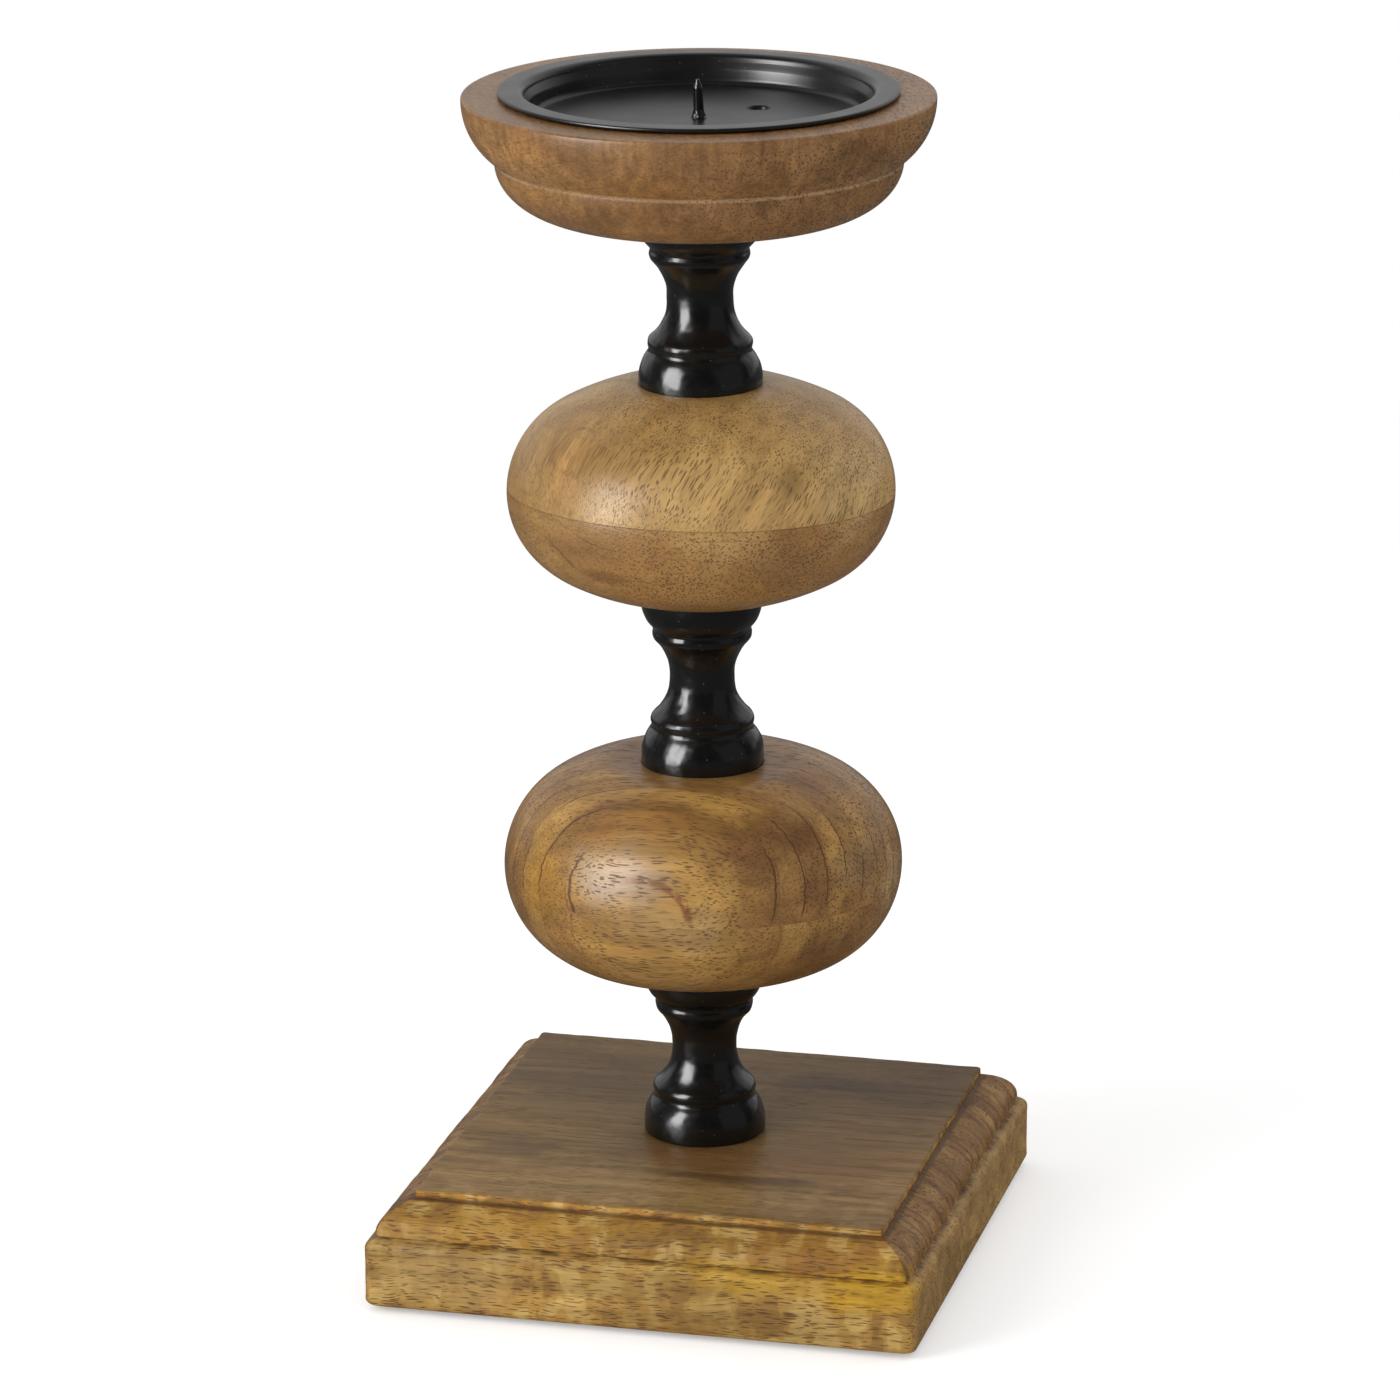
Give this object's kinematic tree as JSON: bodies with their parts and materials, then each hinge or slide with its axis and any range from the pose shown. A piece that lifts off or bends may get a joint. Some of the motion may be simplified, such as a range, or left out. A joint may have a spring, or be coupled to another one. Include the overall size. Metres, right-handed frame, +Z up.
{
  "type": "candle holder",
  "caption": "Pillar candle holder of turned wooden balls and a cup between black enamelled spools on a square wooden base, with a black steel candle pan and a nail spike",
  "frame": {"origin": "the middle of the footprint, on the surface that the holder stands on, at the felt pads' underside", "axes": "+Z is up along the spindle; X and Y run along the sides of the square base"},
  "size_m": [0.171, 0.171, 0.3662],
  "materials": {
    "base_wood": "lacquered mango wood, semi-gloss",
    "lower_ball_wood": "lacquered mango wood, semi-gloss",
    "upper_ball_wood": "lacquered mango wood, semi-gloss",
    "cup_wood": "lacquered mango wood, end grain, semi-gloss",
    "black_enamel": "black gloss enamel, slightly lumpy",
    "pan_paint": "satin black paint on pressed steel",
    "screw_black": "black oxide, satin",
    "zinc": "zinc plated",
    "felt": "dark felt"
  },
  "bodies": {
    "root": {"felt_pad_1": "felt", "felt_pad_2": "felt", "felt_pad_3": "felt", "felt_pad_4": "felt", "base_block": "base_wood", "lower_spool": "black_enamel", "lower_ball": "lower_ball_wood", "middle_spool": "black_enamel", "upper_ball": "upper_ball_wood", "upper_spool": "black_enamel", "cup": "cup_wood", "candle_pan": "pan_paint", "spike": "pan_paint", "pan_screw": "screw_black", "tie_rod": "zinc", "base_washer": "zinc", "base_nut": "zinc", "cup_washer": "zinc", "cup_nut": "zinc"}
  },
  "joints": []
}
